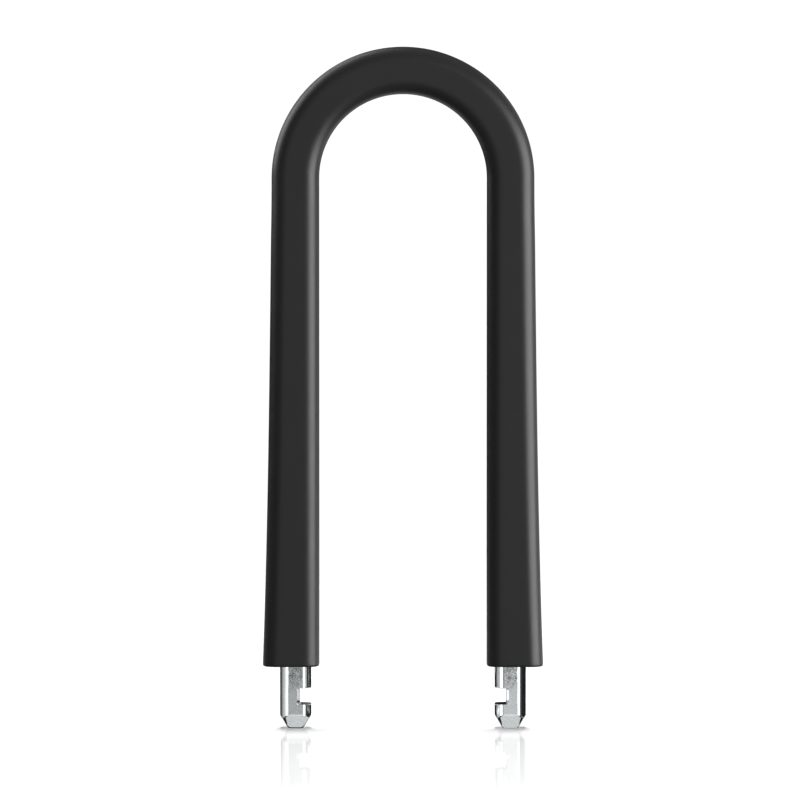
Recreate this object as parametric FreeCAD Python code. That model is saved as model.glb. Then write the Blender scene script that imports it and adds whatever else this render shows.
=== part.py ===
import FreeCAD, Part
import math
import os

# U-lock shackle: a square hardened steel bar bent into a U, and the soft-touch cover that
# is pulled over it.  The bare ends below the cover are the latch ends: each has a pyramid tip
# that finds its hole in the lock body, and a rectangular notch on its inward side that the
# lock's bolt slides into.
#
# Frame (millimetres): X across the two legs, Y front to back, Z up.  The origin is midway
# between the two tips, in the plane that they stand on, so the shackle stands on z = 0 with its
# bend at the top.

V = FreeCAD.Vector

# ---- steel bar -----------------------------------------------------------------------------
BAR = 13.0              # across flats of the square bar
BAR_CORNER_R = 3.5      # rolled corner radius of the bar
LEG_X = 44.9            # centre of each leg from the middle plane
BEND_Z = 230.1          # height of the bend's centre: the legs are straight below it

# ---- latch ends ----------------------------------------------------------------------------
TIP_HEIGHT = 5.6        # height of the four tip bevels
TIP_FLAT = 6.9          # side of the small flat that is left at the bottom
TIP_EDGE_R = 1.6        # radius along the four slanting edges of the tip
TIP_BOTTOM_R = 0.6      # radius round the bottom flat
NOTCH_Z0 = 10.3         # lower ledge of the bolt notch
NOTCH_Z1 = 17.0         # upper ledge of the bolt notch
NOTCH_DEPTH = 4.9       # depth from the leg's inward face
NOTCH_INNER_R = 0.6     # radius in the two inside corners
NOTCH_WALL_BEVEL = 1.0  # bevel on the notch wall's front and back edges

# ---- cover ---------------------------------------------------------------------------------
SLEEVE_END_Z = 26.15    # lower ends of the cover: the steel is bare below
SLEEVE_DEPTH = 19.8     # front to back
SLEEVE_CORNER_R = 6.2   # radius of the four long corners
SLEEVE_IN_X = 35.0      # inner faces of the cover from the middle plane
SLEEVE_OUT_X = 54.8     # outer faces at the bend; they flare outwards down the legs
FLARE_A1 = 2.436        # flare of the outer face, as a cubic of the distance
FLARE_A2 = -1.094       # below the bend: 0 at the bend, 1 at the cover's end
FLARE_A3 = 2.506
FLARE_BLEND = 0.10      # the flare starts tangent to the bend over this share of the leg
SLEEVE_RIM_R = 0.9      # radius round the outside of each end
SLEEVE_MOUTH = 0.4      # bevel round the mouth that the bar comes out of
FIT = 0.05              # clearance between the cover's bore and the bar, all round

HALF = BAR / 2.0


def rounded_square(cx, z, half, r):
    """Square face with rounded corners, centred at (cx, 0, z), in a plane of constant z."""
    h, k = half, half - r
    s = r * math.sqrt(0.5)
    pts = []
    edges = []
    corners = [(1, 1), (-1, 1), (-1, -1), (1, -1)]
    start = [V(cx + h, k, z), V(cx - k, h, z), V(cx - h, -k, z), V(cx + k, -h, z)]
    end = [V(cx + k, h, z), V(cx - h, k, z), V(cx - k, -h, z), V(cx + h, -k, z)]
    for i, (sx, sy) in enumerate(corners):
        mid = V(cx + sx * (k + s), sy * (k + s), z)
        edges.append(Part.Arc(start[i], mid, end[i]).toShape())
        nxt = start[(i + 1) % 4]
        edges.append(Part.LineSegment(end[i], nxt).toShape())
    return Part.Face(Part.Wire(edges))


def u_bar(half, r, z0):
    """The bar's U path, from z0 up one leg, round the bend and down the other leg."""
    right = rounded_square(LEG_X, z0, half, r).extrude(V(0, 0, BEND_Z - z0))
    left = rounded_square(-LEG_X, z0, half, r).extrude(V(0, 0, BEND_Z - z0))
    bend = rounded_square(LEG_X, BEND_Z, half, r).revolve(V(0, 0, BEND_Z), V(0, -1, 0), 180)
    return right.fuse([bend, left]).removeSplitter()


def box(x0, x1, y0, y1, z0, z1):
    return Part.makeBox(x1 - x0, y1 - y0, z1 - z0, V(x0, y0, z0))


# ---- 1. shackle bar ------------------------------------------------------------------------
def tip_cutter(cx):
    """Everything outside the rounded pyramid round one leg's end."""
    top = 14.0
    slope = (HALF - TIP_FLAT / 2.0) / TIP_HEIGHT
    lower = rounded_square(cx, 0.0, TIP_FLAT / 2.0, TIP_EDGE_R)
    upper = rounded_square(cx, top, TIP_FLAT / 2.0 + slope * top, TIP_EDGE_R)
    pyramid = Part.makeLoft([lower.OuterWire, upper.OuterWire], True, True)
    bottom = [e for e in pyramid.Edges if e.BoundBox.ZMax < 1e-3]
    pyramid = pyramid.makeFillet(TIP_BOTTOM_R, bottom)
    block = box(cx - 9, cx + 9, -9, 9, -1.0, 9.0)
    return block.cut(pyramid)


def notch_cutter(side):
    """The bolt notch of one leg, through from front to back.  side is +1 or -1."""
    face_x = LEG_X - HALF                    # the leg's inward face
    wall_x = face_x + NOTCH_DEPTH
    cut = box(face_x - 3, wall_x, -9, 9, NOTCH_Z0, NOTCH_Z1)
    inner = [e for e in cut.Edges
             if all(abs(v.X - wall_x) < 1e-6 for v in e.Vertexes)
             and abs(e.Vertexes[0].Z - e.Vertexes[1].Z) < 1e-6]
    cut = cut.makeFillet(NOTCH_INNER_R, inner)
    for sy in (1, -1):
        # a wedge that bevels the wall's vertical edge
        d = NOTCH_WALL_BEVEL
        tri = Part.makePolygon([V(wall_x - 0.5, sy * (HALF + 0.5), NOTCH_Z0),
                                V(wall_x - 0.5, sy * (HALF - d - 0.5), NOTCH_Z0),
                                V(wall_x + d + 0.5, sy * (HALF + 0.5), NOTCH_Z0),
                                V(wall_x - 0.5, sy * (HALF + 0.5), NOTCH_Z0)])
        wedge = Part.Face(tri).extrude(V(0, 0, NOTCH_Z1 - NOTCH_Z0))
        cut = cut.fuse(wedge)
    cut = cut.removeSplitter()
    if side < 0:
        cut = cut.mirror(V(0, 0, 0), V(1, 0, 0))
    return cut


bar = u_bar(HALF, BAR_CORNER_R, 0.0)
bar = bar.cut([tip_cutter(LEG_X), tip_cutter(-LEG_X), notch_cutter(1), notch_cutter(-1)])
bar = bar.removeSplitter()
bar = bar.Solids[0] if len(bar.Solids) == 1 else bar


# ---- 2. protective sleeve ------------------------------------------------------------------
def flare(t):
    """How far the outer face stands out from SLEEVE_OUT_X, t from 0 at the bend to 1 at the end."""
    return FLARE_A1 * t + FLARE_A2 * t * t + FLARE_A3 * t ** 3


leg_run = BEND_Z - SLEEVE_END_Z
side_pts = [V(SLEEVE_OUT_X, 0, BEND_Z)]
for i in range(1, 11):
    t = i / 10.0
    lift = 0.06 if t <= FLARE_BLEND + 1e-9 else 0.0      # eases the start of the flare
    side_pts.append(V(SLEEVE_OUT_X + flare(t) - lift, 0, BEND_Z - t * leg_run))


def side_curve(sign):
    pts = [V(sign * p.x, p.y, p.z) for p in side_pts]
    slope = (FLARE_A1 + 2 * FLARE_A2 + 3 * FLARE_A3) / leg_run
    c = Part.BSplineCurve()
    c.interpolate(Points=pts, InitialTangent=V(0, 0, -1),
                  FinalTangent=V(sign * slope, 0, -1))
    return c.toShape()


out_top = BEND_Z + SLEEVE_OUT_X
in_top = BEND_Z + SLEEVE_IN_X
profile = Part.Wire([
    Part.Arc(V(SLEEVE_OUT_X, 0, BEND_Z), V(0, 0, out_top), V(-SLEEVE_OUT_X, 0, BEND_Z)).toShape(),
    side_curve(-1),
    Part.LineSegment(V(-side_pts[-1].x, 0, SLEEVE_END_Z), V(-SLEEVE_IN_X, 0, SLEEVE_END_Z)).toShape(),
    Part.LineSegment(V(-SLEEVE_IN_X, 0, SLEEVE_END_Z), V(-SLEEVE_IN_X, 0, BEND_Z)).toShape(),
    Part.Arc(V(-SLEEVE_IN_X, 0, BEND_Z), V(0, 0, in_top), V(SLEEVE_IN_X, 0, BEND_Z)).toShape(),
    Part.LineSegment(V(SLEEVE_IN_X, 0, BEND_Z), V(SLEEVE_IN_X, 0, SLEEVE_END_Z)).toShape(),
    Part.LineSegment(V(SLEEVE_IN_X, 0, SLEEVE_END_Z), V(side_pts[-1].x, 0, SLEEVE_END_Z)).toShape(),
    side_curve(1),
])
half_d = SLEEVE_DEPTH / 2.0
face = Part.Face(profile)
face.translate(V(0, -half_d, 0))
sleeve = face.extrude(V(0, SLEEVE_DEPTH, 0))


def lies_on(edge, y):
    """True for an edge in the front or back face that isn't one of the two end edges."""
    bb = edge.BoundBox
    flat_y = abs(bb.YMin - y) < 1e-3 and abs(bb.YMax - y) < 1e-3
    return flat_y and (bb.ZMax - bb.ZMin) > 1.0


long_edges = [e for e in sleeve.Edges if lies_on(e, half_d) or lies_on(e, -half_d)]
sleeve = sleeve.makeFillet(SLEEVE_CORNER_R, long_edges)
rim = [e for e in sleeve.Edges
       if abs(e.BoundBox.ZMin - SLEEVE_END_Z) < 1e-3 and abs(e.BoundBox.ZMax - SLEEVE_END_Z) < 1e-3]
sleeve = sleeve.makeFillet(SLEEVE_RIM_R, rim)

bore = u_bar(HALF + FIT, BAR_CORNER_R + FIT, SLEEVE_END_Z - 3.0)
sleeve = sleeve.cut(bore)
# bevel round each mouth: a short flared plug
for sx in (1, -1):
    lower = rounded_square(sx * LEG_X, SLEEVE_END_Z - 0.2,
                           HALF + FIT + SLEEVE_MOUTH + 0.2, BAR_CORNER_R + FIT + SLEEVE_MOUTH + 0.2)
    upper = rounded_square(sx * LEG_X, SLEEVE_END_Z + SLEEVE_MOUTH + 0.02,
                           HALF + FIT - 0.02, BAR_CORNER_R + FIT - 0.02)
    plug = Part.makeLoft([lower.OuterWire, upper.OuterWire], True, True)
    sleeve = sleeve.cut(plug)
sleeve = sleeve.Solids[0] if len(sleeve.Solids) == 1 else sleeve


# ---- export --------------------------------------------------------------------------------
os.makedirs("parts", exist_ok=True)
for name, shape in (("shackle_bar", bar), ("protective_sleeve", sleeve)):
    bb = shape.BoundBox
    print("%-18s valid %s  solids %d  volume %.1f mm3  x %.2f %.2f  y %.2f %.2f  z %.2f %.2f" % (
        name, shape.isValid(), len(shape.Solids), shape.Volume,
        bb.XMin, bb.XMax, bb.YMin, bb.YMax, bb.ZMin, bb.ZMax))
    shape.exportStep("parts/%s.step" % name)
both = bar.common(sleeve)
print("overlap of the two pieces: %.4f mm3" % both.Volume)
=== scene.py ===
import math

import bmesh
import bpy
import numpy as np
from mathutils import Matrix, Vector


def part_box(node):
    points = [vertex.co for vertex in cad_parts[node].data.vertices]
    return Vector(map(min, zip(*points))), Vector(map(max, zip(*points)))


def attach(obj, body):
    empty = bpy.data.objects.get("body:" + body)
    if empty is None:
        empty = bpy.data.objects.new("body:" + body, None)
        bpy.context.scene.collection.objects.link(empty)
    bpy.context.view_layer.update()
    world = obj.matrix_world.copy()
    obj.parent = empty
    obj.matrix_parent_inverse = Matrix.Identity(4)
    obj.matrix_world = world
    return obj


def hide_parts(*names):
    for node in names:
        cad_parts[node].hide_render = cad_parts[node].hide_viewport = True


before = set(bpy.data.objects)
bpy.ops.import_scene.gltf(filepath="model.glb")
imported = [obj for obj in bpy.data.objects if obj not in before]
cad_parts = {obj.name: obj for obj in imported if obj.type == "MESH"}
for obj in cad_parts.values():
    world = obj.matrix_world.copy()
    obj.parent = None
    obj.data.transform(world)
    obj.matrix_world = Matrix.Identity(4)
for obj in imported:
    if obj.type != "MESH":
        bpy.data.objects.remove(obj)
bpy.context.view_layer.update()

MM = 0.001

# ------------------------------------------------------------------ sizes, from the frame (mm)
bar_lo, bar_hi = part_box("shackle_bar")
slv_lo, slv_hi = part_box("protective_sleeve")
BAR = round((bar_hi[1] - bar_lo[1]) / MM, 1)            # across flats
HALF = BAR / 2
LEG_X = round(bar_hi[0] / MM - HALF, 1)                 # leg centre
BEND_Z = round((bar_hi[2] - bar_hi[0]) / MM, 1)         # centre of the bend
COVER_Z = round(slv_lo[2] / MM, 2)                      # lower end of the cover
COVER_Y = round((slv_hi[1] - slv_lo[1]) / MM, 1) / 2    # half its depth
COVER_N = round((slv_hi[2]) / MM - BEND_Z - LEG_X, 1)   # half its width at the bend

BAR_R = 3.5
TIP_H, TIP_FLAT, TIP_EDGE_R, TIP_BOTTOM_R = 5.6, 6.9, 1.6, 0.6
NOTCH_Z0, NOTCH_Z1 = 10.3, 17.0
NOTCH_WALL = -1.6                # notch wall, measured from the leg's centre, outward positive
NOTCH_BEVEL = 1.0
NOTCH_INNER_R, NOTCH_EDGE_R = 0.6, 0.25
COVER_R = 6.2
FLARE = (2.436, -1.094, 2.506)
FLARE_BLEND = 0.10
RIM_R, MOUTH, FIT = 0.9, 0.4, 0.05
SEAM = 0.07                      # height of the moulding line down the cover's two sides


def smoothstep(a, b, x):
    t = np.clip((np.asarray(x, float) - a) / (b - a), 0.0, 1.0)
    return t * t * (3 - 2 * t)


def flare(z):
    """How far the cover's outer face stands out at height z."""
    t = np.clip((BEND_Z - z) / (BEND_Z - COVER_Z), 0.0, 1.0)
    full = FLARE[0] * t + FLARE[1] * t * t + FLARE[2] * t ** 3
    return full * smoothstep(-0.02, FLARE_BLEND + 0.04, t) * (1 - 0.0) if t < FLARE_BLEND + 0.04 else full


# ------------------------------------------------------------------ mesh helpers
def mesh_from_rings(name, rings, closed_chain, caps=()):
    """One mesh from equal rings of points (mm). caps holds points that close the first and last ring."""
    n = len(rings[0])
    verts = np.concatenate([np.asarray(r, float) for r in rings]) * MM
    faces = []
    m = len(rings)
    for j in range(m if closed_chain else m - 1):
        a, b = j * n, ((j + 1) % m) * n
        for i in range(n):
            k = (i + 1) % n
            faces.append((a + i, a + k, b + k, b + i))
    verts = [tuple(v) for v in verts]
    if caps:
        first, last = len(verts), len(verts) + 1
        verts.append(tuple(np.asarray(caps[0], float) * MM))
        verts.append(tuple(np.asarray(caps[1], float) * MM))
        for i in range(n):
            k = (i + 1) % n
            faces.append((first, k, i))
            faces.append((last, (m - 1) * n + i, (m - 1) * n + k))
    me = bpy.data.meshes.new(name)
    me.from_pydata(verts, [], faces)
    bm = bmesh.new()
    bm.from_mesh(me)
    bmesh.ops.recalc_face_normals(bm, faces=bm.faces)
    bm.to_mesh(me)
    bm.free()
    for p in me.polygons:
        p.use_smooth = True
    me.set_sharp_from_angle(angle=math.radians(40))
    me.validate()
    ob = bpy.data.objects.new(name, me)
    bpy.context.scene.collection.objects.link(ob)
    return ob


def arc(cx, cy, r, a0, a1, steps, last=True):
    out = []
    for i in range(steps + (1 if last else 0)):
        a = math.radians(a0 + (a1 - a0) * i / steps)
        out.append((cx + r * math.cos(a), cy + r * math.sin(a)))
    return out


def line(p, q, fractions):
    return [(p[0] + (q[0] - p[0]) * f, p[1] + (q[1] - p[1]) * f) for f in fractions]


# ------------------------------------------------------------------ the cover
SIDE_F = [0.0, 0.18, 0.34, 0.42, 0.46, 0.48, 0.5, 0.52, 0.54, 0.58, 0.66, 0.82]   # down an outer or inner face
FACE_F = [0.0, 0.15, 0.32, 0.5, 0.68, 0.85]                                      # across the front or back face


def cover_section(n_in, n_out, hy, r, seam=0.0):
    """Rounded rectangle (n outward from the bar's centre, y), starting at the outer face's back corner."""
    pts = []
    pts += arc(n_out - r, hy - r, r, 0, 90, 16, last=False)
    pts += line((n_out - r, hy), (n_in + r, hy), FACE_F)
    pts += arc(n_in + r, hy - r, r, 90, 180, 16, last=False)
    pts += line((n_in, hy - r), (n_in, -hy + r), SIDE_F)
    pts += arc(n_in + r, -hy + r, r, 180, 270, 16, last=False)
    pts += line((n_in + r, -hy), (n_out - r, -hy), FACE_F)
    pts += arc(n_out - r, -hy + r, r, 270, 360, 16, last=False)
    pts += line((n_out, -hy + r), (n_out, hy - r), SIDE_F)
    p = np.array(pts)
    if seam:
        # the face sits a hair lower than the moulding line, which runs where y = 0
        side = smoothstep(1.2, 0.0, np.abs(p[:, 1]) / 2.4)
        ridge = np.exp(-(p[:, 1] / 0.17) ** 2)
        sign = np.where(p[:, 0] > 0, 1.0, -1.0)
        on_side = (np.abs(p[:, 1]) <= hy - r + 1e-6)
        p[:, 0] += np.where(on_side, sign * seam * (ridge - side), 0.0)
    return p


def place_leg(section, z, side):
    n, y = section[:, 0], section[:, 1]
    return np.stack([side * (LEG_X + n), y, np.full(len(n), z)], 1)


def place_bend(section, degrees):
    n, y = section[:, 0], section[:, 1]
    a = math.radians(degrees)
    return np.stack([(LEG_X + n) * math.cos(a), y, BEND_Z + (LEG_X + n) * math.sin(a)], 1)


def outer_at(z, inset=0.0, seam=SEAM):
    return cover_section(-COVER_N + inset, COVER_N + flare(z) - inset, COVER_Y - inset, COVER_R - inset, seam)


leg_z = list(np.linspace(COVER_Z + RIM_R, COVER_Z + 8, 6)) + list(np.linspace(COVER_Z + 8, BEND_Z, 58))[1:]
bend_deg = list(np.linspace(0, 180, 121))[1:-1]


def cover_end(side):
    """Rings from the cover's bore, out over its end and up to where the rim's rounding stops."""
    hb, rb = HALF + FIT, BAR_R + FIT
    bore = cover_section(-hb, hb, hb, rb)
    mouth = cover_section(-hb - MOUTH, hb + MOUTH, hb + MOUTH, rb + MOUTH)
    inset_mid = outer_at(COVER_Z, RIM_R, seam=0.0)
    rings = [place_leg(bore, COVER_Z + MOUTH + 0.25, side),
             place_leg(bore, COVER_Z + MOUTH, side),
             place_leg(0.5 * bore + 0.5 * mouth, COVER_Z + MOUTH * 0.36, side),
             place_leg(mouth, COVER_Z, side)]
    for f in (0.06, 0.3, 0.6, 0.9, 1.0):
        rings.append(place_leg(mouth * (1 - f) + inset_mid * f, COVER_Z, side))
    for deg in (78, 64, 50, 36, 24, 12):
        a = math.radians(deg)
        seam = SEAM * math.cos(a)
        rings.append(place_leg(outer_at(COVER_Z + RIM_R, RIM_R * (1 - math.cos(a)), seam),
                               COVER_Z + RIM_R * (1 - math.sin(a)), side))
    return rings


chain = []
chain += cover_end(1)
chain += [place_leg(outer_at(z), z, 1) for z in leg_z]
chain += [place_bend(outer_at(BEND_Z), d) for d in bend_deg]
chain += [place_leg(outer_at(z), z, -1) for z in reversed(leg_z)]
chain += list(reversed(cover_end(-1)))
bore_section = cover_section(-HALF - FIT, HALF + FIT, HALF + FIT, BAR_R + FIT)
bore_z = [40.0, 70.0, 110.0, 150.0, 190.0, BEND_Z]
BORE_DEG = list(np.linspace(0, 180, 61))[1:-1]
chain += [place_leg(bore_section, z, -1) for z in bore_z]
chain += [place_bend(bore_section, d) for d in reversed(BORE_DEG)]
chain += [place_leg(bore_section, z, 1) for z in reversed(bore_z)]
cover = mesh_from_rings("soft_cover", chain, closed_chain=True)

# ------------------------------------------------------------------ the steel bar
START_N = NOTCH_WALL + NOTCH_BEVEL       # where the notch wall's bevel meets the front and back faces


def bar_outline():
    """The bar's outline from the notch's back start, round the inward side, to its front start and
    back round the outward side. Returns the points and the number of samples on the inward part."""
    k = HALF - BAR_R
    inward = []
    inward += line((START_N, HALF), (-k, HALF), (0.0, 0.05, 0.2, 0.4, 0.7))
    inward += arc(-k, k, BAR_R, 90, 180, 16, last=False)
    inward += line((-HALF, k), (-HALF, -k), np.linspace(0, 1, 12, endpoint=False))
    inward += arc(-k, -k, BAR_R, 180, 270, 16, last=False)
    inward += line((-k, -HALF), (START_N, -HALF), (0.0, 0.3, 0.6, 0.8, 0.95, 1.0))
    outward = []
    outward += line((START_N, -HALF), (k, -HALF), (0.03, 0.12, 0.3, 0.5, 0.7, 0.88))
    outward += arc(k, -k, BAR_R, 270, 360, 16, last=False)
    outward += line((HALF, -k), (HALF, k), np.linspace(0, 1, 10, endpoint=False))
    outward += arc(k, k, BAR_R, 0, 90, 16, last=False)
    outward += line((k, HALF), (START_N, HALF), (0.0, 0.12, 0.3, 0.5, 0.7, 0.88, 0.97))
    return np.array(inward + outward), len(inward)


BAR_PTS, N_IN = bar_outline()
N_BAR = len(BAR_PTS)


def notch_line():
    """The notch wall with its two bevels, sampled to match the inward part of the outline."""
    half = (N_IN - 1) / 2
    b = NOTCH_BEVEL
    slant = b * math.sqrt(2)
    wall = HALF - b
    total = slant + wall
    # distance along the cut outline, from the face towards the middle
    marks = [0.0, 0.05, 0.16, 0.45, 0.8, 1.12, slant - 0.14, slant - 0.05, slant + 0.05, slant + 0.14, slant + 0.4]
    n_rest = int(half) + 1 - len(marks)
    rest = list(np.linspace(slant + 0.4, total, n_rest + 1))[1:]
    s = marks + rest
    pts = []
    for d in s:
        if d <= slant:
            f = d / slant
            pts.append((START_N - b * f, HALF - b * f))
        else:
            pts.append((NOTCH_WALL, HALF - b - (d - slant)))
    out = list(pts)
    for p in reversed(pts[:-1]):
        out.append((p[0], -p[1]))
    return np.array(out)


CUT = notch_line()
assert N_IN % 2 == 1 and len(CUT) == N_IN, (N_IN, len(CUT))
CUT_VEC = np.zeros((N_BAR, 2))
CUT_VEC[:N_IN] = CUT - BAR_PTS[:N_IN]
CUT_LEN = np.linalg.norm(CUT_VEC, axis=1)
CUT_DIR = CUT_VEC / np.maximum(CUT_LEN, 1e-9)[:, None]


def square_radius(theta, half, r):
    """Distance from the centre to a rounded square's outline, in each direction theta."""
    c, s = np.abs(np.cos(theta)), np.abs(np.sin(theta))
    flat = half / np.maximum(c, s)
    k = half - r
    b = k * (c + s)
    disc = np.maximum(b * b - (2 * k * k - r * r), 0.0)
    round_r = b + np.sqrt(disc)
    x, y = flat * c, flat * s
    corner = (x > k) & (y > k)
    return np.where(corner, round_r, flat)


THETA = np.arctan2(BAR_PTS[:, 1], BAR_PTS[:, 0])
RHO = np.linalg.norm(BAR_PTS, axis=1)
SLOPE = (HALF - TIP_FLAT / 2) / TIP_H


def soft_min(a, b, k):
    h = np.maximum(k - np.abs(a - b), 0.0) / k
    return np.minimum(a, b) - h * h * k * 0.25


def tip_ring(z, half=None):
    """Section at height z in the tip: the bar's outline met by the rounded pyramid."""
    hw = TIP_FLAT / 2 + SLOPE * z if half is None else half
    r = min(TIP_EDGE_R, hw * 0.9)
    rho = soft_min(RHO, square_radius(THETA, hw, r), 0.2)
    ring = BAR_PTS * (rho / RHO)[:, None]
    return np.column_stack([ring, np.full(N_BAR, z)])


def plain_ring(z):
    return np.column_stack([BAR_PTS, np.full(N_BAR, z)])


def ledge_rings(z0, sign):
    """Rings over one ledge of the notch, from the full outline (outside) to the notch wall.
    sign is +1 for the lower ledge, where the notch is above z0, and -1 for the upper one."""
    re, ri = NOTCH_EDGE_R, NOTCH_INNER_R
    scale = np.minimum(1.0, 0.9 * CUT_LEN / (re + ri))
    rek, rik = re * scale, ri * scale
    stages = []
    for deg in (0, 18, 36, 54, 72, 90):
        a = math.radians(deg)
        stages.append((rek * (1 - math.cos(a)), -rek + rek * math.sin(a)))
    for f in (0.2, 0.45, 0.7, 0.9):
        stages.append((rek + (CUT_LEN - rek - rik) * f, np.zeros(N_BAR)))
    for deg in (0, 15, 30, 45, 60, 75, 90):
        a = math.radians(deg)
        stages.append((CUT_LEN - rik + rik * math.sin(a), rik - rik * math.cos(a)))
    even = np.linspace(-re, ri, len(stages))
    w = smoothstep(0.0, 0.8, CUT_LEN)
    rings = []
    for (d, dz), e in zip(stages, even):
        xy = BAR_PTS + CUT_DIR * np.clip(d, 0, CUT_LEN)[:, None]
        z = z0 + sign * (w * dz + (1 - w) * e)
        rings.append(np.column_stack([xy, z]))
    return rings


def wall_ring(z):
    return np.column_stack([BAR_PTS + CUT_VEC, np.full(N_BAR, z)])


def leg_end_rings():
    """Local rings (n, y, z) from the tip's flat bottom up to just inside the cover."""
    rings = []
    turn = math.degrees(math.atan2(1.0, SLOPE))            # angle the bottom rounding turns through
    back = TIP_BOTTOM_R * math.tan(math.radians(turn / 2))
    flat_half = TIP_FLAT / 2 - back
    for f in (0.25, 0.55, 0.8, 0.94):
        rings.append(tip_ring(0.0, flat_half * f))
    for a in np.linspace(0, turn, 7):
        ar = math.radians(a)
        rings.append(tip_ring(TIP_BOTTOM_R * (1 - math.cos(ar)), flat_half + TIP_BOTTOM_R * math.sin(ar)))
    z_start = rings[-1][0, 2]
    for z in (z_start + 0.12, z_start + 0.5, 1.4, 2.2, 3.0, 3.6, 4.0):
        rings.append(tip_ring(z))
    for z in np.arange(4.2, 6.25, 0.1):
        rings.append(tip_ring(z))
    for z in (6.5, 7.2, 8.0, 8.8, 9.4, 9.8):
        rings.append(plain_ring(z))
    rings += ledge_rings(NOTCH_Z0, 1)
    for z in (11.05, 11.6, 12.6, 13.65, 14.7, 15.7, 16.25):
        rings.append(wall_ring(z))
    rings += list(reversed(ledge_rings(NOTCH_Z1, -1)))
    for z in (17.4, 17.8, 18.5, 19.5, 21.0, 22.5, 24.0, 25.2, 26.0, 26.6, 28.0, 32.0):
        rings.append(plain_ring(z))
    return rings


def to_world(local, side):
    return np.column_stack([side * (LEG_X + local[:, 0]), local[:, 1], local[:, 2]])


ends = leg_end_rings()
chain = [to_world(r, 1) for r in ends]
chain += [to_world(plain_ring(z), 1) for z in bore_z[1:]]
chain += [place_bend(BAR_PTS, d) for d in BORE_DEG]
chain += [to_world(plain_ring(z), -1) for z in reversed(bore_z[1:])]
chain += [to_world(r, -1) for r in reversed(ends)]
bar = mesh_from_rings("steel_shackle", chain, closed_chain=False,
                      caps=((LEG_X, 0, 0), (-LEG_X, 0, 0)))


# ------------------------------------------------------------------ materials
class Nodes:
    def __init__(self, name):
        self.mat = bpy.data.materials.new(name)
        self.mat.use_nodes = True
        self.tree = self.mat.node_tree
        self.tree.nodes.clear()
        self.out = self.tree.nodes.new("ShaderNodeOutputMaterial")
        self.bsdf = self.tree.nodes.new("ShaderNodeBsdfPrincipled")
        self.tree.links.new(self.bsdf.outputs[0], self.out.inputs[0])
        self.coord = self.tree.nodes.new("ShaderNodeTexCoord").outputs["Object"]

    def put(self, socket, value):
        if hasattr(value, "is_output"):
            self.tree.links.new(value, socket)
        else:
            socket.default_value = value

    def node(self, kind, **inputs):
        n = self.tree.nodes.new(kind)
        for key, value in inputs.items():
            self.put(n.inputs[key.replace("_", " ")], value)
        return n

    def math(self, op, a, b=0.0, c=0.0):
        n = self.tree.nodes.new("ShaderNodeMath")
        n.operation = op
        for i, v in enumerate((a, b, c)):
            self.put(n.inputs[i], v)
        return n.outputs[0]

    def noise(self, scale, detail=2.0, rough=0.5, vector=None):
        n = self.tree.nodes.new("ShaderNodeTexNoise")
        n.noise_dimensions = "3D"
        self.put(n.inputs["Vector"], vector or self.coord)
        n.inputs["Scale"].default_value = scale
        n.inputs["Detail"].default_value = detail
        n.inputs["Roughness"].default_value = rough
        return n.outputs[0]

    def stretch(self, sx, sy, sz):
        n = self.tree.nodes.new("ShaderNodeMapping")
        n.vector_type = "POINT"
        self.put(n.inputs["Vector"], self.coord)
        n.inputs["Scale"].default_value = (sx, sy, sz)
        return n.outputs[0]

    def remap(self, value, a, b, c, d):
        n = self.tree.nodes.new("ShaderNodeMapRange")
        n.clamp = True
        for i, v in enumerate((value, a, b, c, d)):
            self.put(n.inputs[i], v)
        return n.outputs[0]

    def blend(self, fac, a, b):
        n = self.tree.nodes.new("ShaderNodeMix")
        n.data_type = "RGBA"
        self.put(n.inputs[0], fac)
        self.put(n.inputs[6], a)
        self.put(n.inputs[7], b)
        return n.outputs[2]

    def position(self):
        n = self.tree.nodes.new("ShaderNodeSeparateXYZ")
        self.put(n.inputs[0], self.coord)
        return n.outputs[0], n.outputs[1], n.outputs[2]

    def bump(self, value, distance, strength=1.0, normal=None):
        n = self.tree.nodes.new("ShaderNodeBump")
        n.inputs["Strength"].default_value = strength
        n.inputs["Distance"].default_value = distance
        self.put(n.inputs["Height"], value)
        if normal is not None:
            self.put(n.inputs["Normal"], normal)
        return n.outputs[0]


def soft_touch():
    m = Nodes("soft_touch_cover")
    broad = m.noise(55.0, 3.0, 0.55)
    grain = m.noise(5200.0, 3.0, 0.6)
    fine = m.noise(14000.0, 1.0, 0.5)
    colour = m.blend(m.remap(broad, 0.3, 0.7, 0.0, 1.0), (0.0135, 0.0135, 0.0138, 1), (0.0152, 0.0152, 0.0155, 1))
    m.put(m.bsdf.inputs["Base Color"], colour)
    rough = m.math("ADD", m.remap(broad, 0.3, 0.7, 0.40, 0.44), m.remap(grain, 0.3, 0.7, -0.02, 0.02))
    m.put(m.bsdf.inputs["Roughness"], rough)
    h = m.math("ADD", m.math("MULTIPLY", grain, 0.7), m.math("MULTIPLY", fine, 0.3))
    m.put(m.bsdf.inputs["Normal"], m.bump(h, 0.000012))
    m.bsdf.inputs["IOR"].default_value = 1.54
    return m.mat


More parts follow.
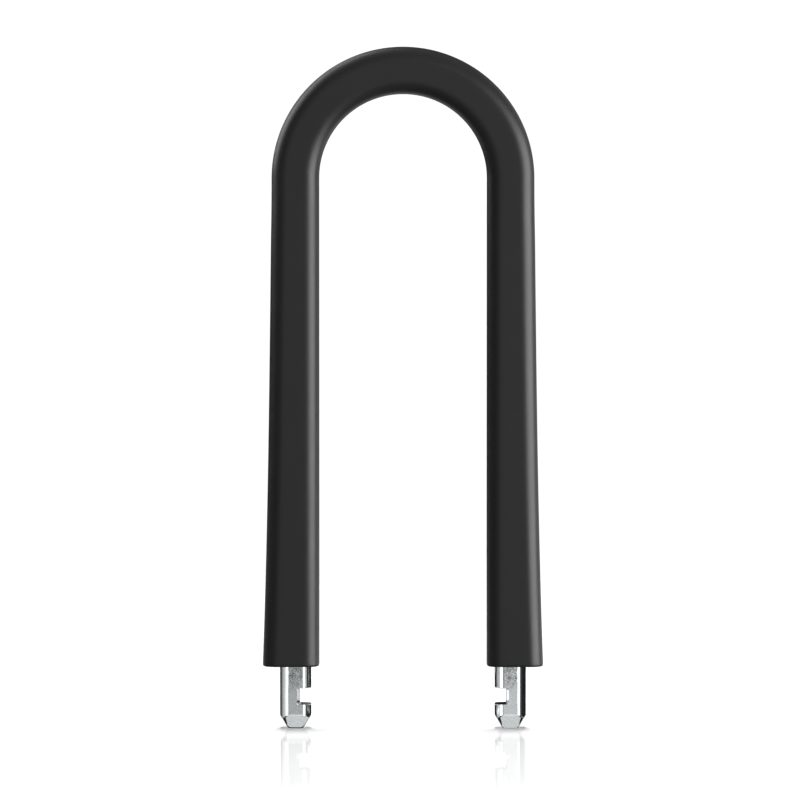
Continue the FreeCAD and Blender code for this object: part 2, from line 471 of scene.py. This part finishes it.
def plated_steel():
    m = Nodes("bright_plated_steel")
    x, y, z = m.position()
    upper = m.remap(z, 0.0150, 0.0215, 0.0, 1.0)                  # rougher under the cover's edge
    across = m.math("ABSOLUTE", m.math("SUBTRACT", m.math("ABSOLUTE", x), LEG_X * MM))
    flats = m.remap(m.math("MINIMUM", across, m.math("ABSOLUTE", y)), 0.0027, 0.0034, 1.0, 0.15)
    upper = m.math("MULTIPLY", upper, flats)                      # and on the flats, less on the corners
    mottle = m.noise(1500.0, 4.0, 0.62)
    pits = m.noise(2100.0, 2.0, 0.55)
    drawn = m.noise(1.0, 3.0, 0.6, m.stretch(2600.0, 2600.0, 90.0))
    cloud = m.noise(160.0, 3.0, 0.5)
    tint = m.blend(m.remap(mottle, 0.35, 0.65, 0.0, 1.0), (0.652, 0.682, 0.688, 1), (0.784, 0.820, 0.824, 1))
    streak = m.noise(1.0, 2.0, 0.5, m.stretch(640.0, 640.0, 330.0))
    worn = m.math("ADD", m.remap(pits, 0.40, 0.58, 0.64, 0.0), m.remap(streak, 0.40, 0.60, 0.40, 0.0))
    tint = m.blend(m.math("MULTIPLY", upper, worn), tint, (0.20, 0.21, 0.21, 1))
    m.put(m.bsdf.inputs["Base Color"], tint)
    m.bsdf.inputs["Metallic"].default_value = 1.0
    rough = m.math("ADD", m.remap(cloud, 0.3, 0.7, 0.05, 0.08), m.math("MULTIPLY", upper, m.remap(mottle, 0.3, 0.7, 0.0, 0.035)))
    m.put(m.bsdf.inputs["Roughness"], rough)
    pit_h = m.math("MULTIPLY", m.math("ADD", mottle, m.math("MULTIPLY", pits, 0.6)), m.math("ADD", m.math("MULTIPLY", upper, 0.6), 0.08))
    h = m.math("ADD", pit_h, m.math("MULTIPLY", drawn, 0.16))
    m.put(m.bsdf.inputs["Normal"], m.bump(h, 0.00003))
    return m.mat


cover.data.materials.append(soft_touch())
bar.data.materials.append(plated_steel())

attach(cover, "root")
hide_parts("protective_sleeve")
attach(bar, "root")
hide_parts("shackle_bar")


# ------------------------------------------------------------------ floor
def studio_floor():
    me = bpy.data.meshes.new("floor")
    s = 1.2
    me.from_pydata([(-s, -s, 0), (s, -s, 0), (s, s, 0), (-s, s, 0)], [], [(0, 1, 2, 3)])
    ob = bpy.data.objects.new("floor", me)
    bpy.context.scene.collection.objects.link(ob)
    mat = bpy.data.materials.new("pale_floor")
    mat.use_nodes = True
    t = mat.node_tree
    t.nodes.clear()

    def ramp(value, x0, x1, y0, y1, kind="SMOOTHSTEP"):
        n = t.nodes.new("ShaderNodeMapRange")
        n.interpolation_type = kind
        t.links.new(value, n.inputs[0])
        for i, v in enumerate((x0, x1, y0, y1)):
            n.inputs[i + 1].default_value = v
        return n.outputs[0]

    def times(p, q):
        n = t.nodes.new("ShaderNodeMath")
        n.operation = "MULTIPLY"
        for i, v in enumerate((p, q)):
            if hasattr(v, "is_output"):
                t.links.new(v, n.inputs[i])
            else:
                n.inputs[i].default_value = v
        return n.outputs[0]

    def mixed(fac, p, q):
        n = t.nodes.new("ShaderNodeMixShader")
        t.links.new(fac, n.inputs[0])
        t.links.new(p, n.inputs[1])
        t.links.new(q, n.inputs[2])
        return n.outputs[0]

    out = t.nodes.new("ShaderNodeOutputMaterial")
    diff = t.nodes.new("ShaderNodeBsdfDiffuse")
    glos = t.nodes.new("ShaderNodeBsdfGlossy")
    clear = t.nodes.new("ShaderNodeBsdfTransparent")
    gloss = t.nodes.new("ShaderNodeFresnel")
    co = t.nodes.new("ShaderNodeTexCoord")
    away = t.nodes.new("ShaderNodeVectorMath")
    away.operation = "LENGTH"
    t.links.new(co.outputs["Object"], away.inputs[0])
    radius = away.outputs["Value"]
    diff.inputs["Color"].default_value = (0.86, 0.86, 0.86, 1)
    glos.inputs["Color"].default_value = (1, 1, 1, 1)
    glos.inputs["Roughness"].default_value = 0.035
    gloss.inputs["IOR"].default_value = 1.5
    # polished only close to the two tips, so the reflection fades out; the floor itself fades further away
    sep = t.nodes.new("ShaderNodeSeparateXYZ")
    t.links.new(co.outputs["Object"], sep.inputs[0])
    side = t.nodes.new("ShaderNodeMath")
    side.operation = "ABSOLUTE"
    t.links.new(sep.outputs[0], side.inputs[0])
    beside = t.nodes.new("ShaderNodeMath")
    beside.operation = "SUBTRACT"
    t.links.new(side.outputs[0], beside.inputs[0])
    beside.inputs[1].default_value = LEG_X * MM
    join = t.nodes.new("ShaderNodeCombineXYZ")
    t.links.new(beside.outputs[0], join.inputs[0])
    t.links.new(sep.outputs[1], join.inputs[1])
    near = t.nodes.new("ShaderNodeVectorMath")
    near.operation = "LENGTH"
    t.links.new(join.outputs[0], near.inputs[0])
    tip = near.outputs["Value"]
    polish = times(times(ramp(tip, 0.010, 0.060, 0.15, 1.0), ramp(tip, 0.20, 0.34, 1.0, 0.0)),
                   ramp(tip, 0.05, 0.21, 0.76, 0.50, "LINEAR"))
    surface = mixed(times(gloss.outputs[0], polish), diff.outputs[0], glos.outputs[0])
    t.links.new(mixed(ramp(radius, 0.50, 1.10, 0.0, 1.0), surface, clear.outputs[0]), out.inputs[0])
    me.materials.append(mat)
    ob.visible_diffuse = False
    ob.visible_glossy = False
    ob.visible_shadow = False
    return ob


floor = studio_floor()

# ------------------------------------------------------------------ world
world = bpy.data.worlds.new("studio")
bpy.context.scene.world = world
world.use_nodes = True
wt = world.node_tree
wt.nodes.clear()
w_out = wt.nodes.new("ShaderNodeOutputWorld")
w_mix = wt.nodes.new("ShaderNodeMixShader")
w_dim = wt.nodes.new("ShaderNodeBackground")
w_white = wt.nodes.new("ShaderNodeBackground")
w_path = wt.nodes.new("ShaderNodeLightPath")
w_dim.inputs["Color"].default_value = (0.016, 0.016, 0.0165, 1)
w_white.inputs["Color"].default_value = (1, 1, 1, 1)
w_white.inputs["Strength"].default_value = 1.05
wt.links.new(w_path.outputs["Is Camera Ray"], w_mix.inputs[0])
wt.links.new(w_dim.outputs[0], w_mix.inputs[1])
wt.links.new(w_white.outputs[0], w_mix.inputs[2])
wt.links.new(w_mix.outputs[0], w_out.inputs[0])


# ------------------------------------------------------------------ lights
def group(name, *obs):
    c = bpy.data.collections.new(name)
    for o in obs:
        c.objects.link(o)
    return c


ON_COVER = group("lit_cover", cover)
ON_STEEL = group("lit_steel", bar)
ON_FLOOR = group("lit_floor", floor)
STEEL_SHADOW = group("casts_on_floor", bar)


def place(name, at, facing, width, height, radiance, lit, shadows=None):
    """A soft rectangular panel at one point (m), facing another."""
    data = bpy.data.lights.new(name, "AREA")
    data.shape = "RECTANGLE"
    data.size, data.size_y = width, height
    data.energy = radiance * math.pi * width * height
    ob = bpy.data.objects.new(name, data)
    ob.location = Vector(at)
    ob.rotation_mode = "QUATERNION"
    ob.rotation_quaternion = (Vector(at) - Vector(facing)).to_track_quat("Z", "Y")
    bpy.context.scene.collection.objects.link(ob)
    ob.visible_camera = False
    ob.light_linking.receiver_collection = lit
    if shadows is not None:
        ob.light_linking.blocker_collection = shadows
    return ob


def panel(name, az, el, dist, width, height, radiance, lit, aim=(0, 0, 0.14), shadows=None):
    """A panel that faces the object. Azimuth 0 is the camera's side, 90 is +X."""
    a, e = math.radians(az), math.radians(el)
    out = Vector((math.sin(a) * math.cos(e), -math.cos(a) * math.cos(e), math.sin(e)))
    return place(name, Vector(aim) + out * dist, aim, width, height, radiance, lit, shadows)


def span(name, az0, az1, el0, el1, radiance, lit, dist=1.6, aim=(0, 0, 0.14), shadows=None):
    """A panel that covers a range of azimuth and elevation, as seen from the object."""
    w = 2 * dist * math.tan(math.radians(abs(az1 - az0) / 2))
    top, bottom = dist * math.tan(math.radians(el1)), dist * math.tan(math.radians(el0))
    return panel(name, (az0 + az1) / 2, 0, dist, w, top - bottom, radiance, lit,
                 (aim[0], aim[1], aim[2] + (top + bottom) / 2), shadows)


# cover: a frontal fill with a top, a tall key from the right, a weak left side, the floor's bounce,
# a rim from the upper left, and a fill, key and top for its back
span("cover_fill", -26, 30, -18, 50, 0.360, ON_COVER)
panel("cover_top", 0, 90, 1.5, 2.6, 2.2, 0.32, ON_COVER)
span("cover_key", 36, 94, -17, 23, 5.8, ON_COVER)
span("cover_left", -112, -26, -30, 30, 0.10, ON_COVER)
place("cover_bounce", (0, -0.1, -0.02), (0, -0.1, 1), 2.4, 2.0, 0.09, ON_COVER)
place("cover_rim", (-0.40, 0.13, 0.42), (-0.045, 0, 0.25), 0.34, 0.34, 3.1, ON_COVER)
place("cover_rim_top", (-0.20, 0.20, 0.62), (-0.02, 0, 0.28), 0.26, 0.26, 2.2, ON_COVER)
span("cover_back_fill_low", 160, 200, -38, -8, 0.36, ON_COVER)
span("cover_back_fill_high", 160, 200, 5, 34, 0.30, ON_COVER)
span("cover_back_key", 112, 150, -30, 40, 0.55, ON_COVER)
place("cover_back_floor", (0, 0.28, 0.0), (0, 0.18, 1), 1.2, 0.34, 0.5, ON_COVER)

# steel: white panels to both sides of a grey gap, darker further round
PIN = (0, 0, 0.016)
for name, az0, az1, lum in (
        ("steel_gap_left", -9.0, 0.0, 0.47),
        ("steel_gap_right", 0.0, 7.0, 0.67),
        ("steel_left_a", -36, -9.0, 2.3),
        ("steel_left_b", -56, -36, 0.82),
        ("steel_left_c", -72, -56, 0.66),
        ("steel_left_d", -90, -72, 0.48),
        ("steel_left_e", -108, -90, 0.22),
        ("steel_left_f", -130, -108, 0.03),
        ("steel_right_a", 7.0, 33, 2.3)):
    span(name, az0, az1, -13, 50, lum, ON_STEEL, aim=PIN)
for name, az0, az1, lum in (
        ("steel_right_b", 33, 44, 0.20),
        ("steel_right_c", 44, 66, 0.04)):
    span(name, az0, az1, -7.6, -2.0, lum, ON_STEEL, aim=PIN)
# what the steel mirrors in the directions that the front doesn't show: above and below a thin dark horizon
for name, az0, az1, el0, el1, lum in (
        ("steel_high_right", 40, 84, -2.0, 50, 0.30),
        ("steel_high_side", 84, 128, -2.0, 50, 0.40),
        ("steel_high_back_right", 128, 172, -2.0, 50, 0.70),
        ("steel_high_back", 172, 188, 12, 50, 0.50),
        ("steel_high_back_left", 188, 230, -2.0, 50, 0.55),
        ("steel_low_front", -30, 30, -22, -14, 0.35),
        ("steel_low_right", 40, 84, -20, -7.6, 0.35),
        ("steel_low_side_a", 84, 117, -20, -7.6, 0.45),
        ("steel_low_side_b", 117, 150, -20, -7.6, 0.60),
        ("steel_low_back", 150, 210, -46, -7.8, 0.65),
        ("steel_low_back_left", 210, 243, -20, -7.6, 0.60),
        ("steel_low_left", 243, 276, -20, -15, 0.45),
        ("steel_low_left_front", 276, 330, -20, -15, 0.45),
        ("steel_floor_right", 40, 95, -46, -20, 0.20),
        ("steel_floor_back_right", 95, 150, -46, -20, 0.26),
        ("steel_floor_back_left", 210, 270, -46, -20, 0.26),
        ("steel_floor_left_side", 270, 330, -46, -20, 0.20)):
    span(name, az0, az1, el0, el1, lum, ON_STEEL, dist=1.2, aim=PIN)
leg, notch_z = LEG_X * MM, 0.5 * (NOTCH_Z0 + NOTCH_Z1) * MM
# small cards: one between the legs for each notch, one ahead of the left leg's inner corner, one behind the left
# notch's ledge, and the white floor round each tip
place("steel_card_left", (-leg + 0.030, 0, notch_z - 0.0014), (-leg, 0, notch_z - 0.0014), 0.030, 0.0056, 0.62, ON_STEEL)
place("steel_card_right", (leg - 0.030, 0, notch_z - 0.0014), (leg, 0, notch_z - 0.0014), 0.030, 0.0056, 0.80, ON_STEEL)
place("steel_card_corner", (-leg + 0.0222, -0.0200, 0.0222), (-leg, 0, 0.0222), 0.0064, 0.0156, 0.45, ON_STEEL)
place("steel_card_ledge", (-leg, 0.10, 0.0150), (-leg, 0, 0.0105), 0.030, 0.006, 0.9, ON_STEEL)
for name, x0, x1, y0, y1, lum in (
        ("front_left", -leg - 0.0043, -leg + 0.020, -0.0600, -0.0039, 0.75),
        ("front_right", leg - 0.0043, leg + 0.0048, -0.0600, -0.0034, 0.75),
        ("back_left", -leg - 0.0140, -leg + 0.0140, 0.0032, 0.0150, 0.58),
        ("back_right", leg - 0.0140, leg + 0.0140, 0.0032, 0.0150, 0.58),
        ("outer_left", -leg - 0.0140, -leg - 0.0034, -0.0025, 0.0032, 0.48),
        ("outer_right", leg + 0.0034, leg + 0.0140, -0.0025, 0.0032, 0.48),
        ("inner_left", -leg + 0.0034, -leg + 0.0140, -0.0032, 0.0032, 0.48),
        ("inner_right", leg - 0.0140, leg - 0.0034, -0.0025, 0.0032, 0.48)):
    at = (0.5 * (x0 + x1), 0.5 * (y0 + y1), 0.0002)
    place("steel_ground_" + name, at, (at[0], at[1], 1), x1 - x0, y1 - y0, lum, ON_STEEL)

# floor: an even overhead panel, a narrow strip above and behind that throws the short shadow, and white to mirror
panel("floor_light", 0, 90, 2.4, 3.2, 3.2, 0.30, ON_FLOOR, aim=(0, 0, 0), shadows=STEEL_SHADOW)
place("floor_strip", (0, 0.42, 8.0), (0, 0.42, 0), 0.34, 0.84, 600.0, ON_FLOOR, shadows=STEEL_SHADOW)
place("floor_soft", (-0.5, 1.0, 8.0), (-0.5, 1.0, 0), 3.0, 2.0, 5.0, ON_FLOOR, shadows=STEEL_SHADOW)
place("floor_between", (0, -0.013, 0.018), (0, -0.013, 0), 0.056, 0.044, 0.60, ON_FLOOR, shadows=STEEL_SHADOW)
panel("floor_front", 0, 42, 2.4, 2.6, 1.2, 1.0, ON_FLOOR, aim=(0, 0, 0), shadows=STEEL_SHADOW)
for name, az in (("back", 180), ("right", 90), ("left", -90), ("front", 0)):
    span("floor_mirrors_" + name, az - 45, az + 45, -1, 24, 1.5, ON_FLOOR, dist=2.2, aim=(0, 0, 0), shadows=STEEL_SHADOW)

# ------------------------------------------------------------------ camera
cam_data = bpy.data.cameras.new("camera")
cam = bpy.data.objects.new("camera", cam_data)
bpy.context.scene.collection.objects.link(cam)
bpy.context.scene.camera = cam
AIM = Vector((-0.00125, 0.0, 0.1374))
DIST, ELEV = 3.0, 2.7
e = math.radians(ELEV)
cam.location = AIM + Vector((0, -math.cos(e), math.sin(e))) * DIST
cam.rotation_mode = "QUATERNION"
cam.rotation_quaternion = Vector((0, -math.cos(e), math.sin(e))).to_track_quat("Z", "Y")
cam_data.sensor_width = 36.0
cam_data.lens = 323.0
cam_data.clip_start, cam_data.clip_end = 0.05, 50.0
cam_data.dof.use_dof = False

bpy.context.scene.view_settings.view_transform = "Standard"
bpy.context.scene.view_settings.look = "None"
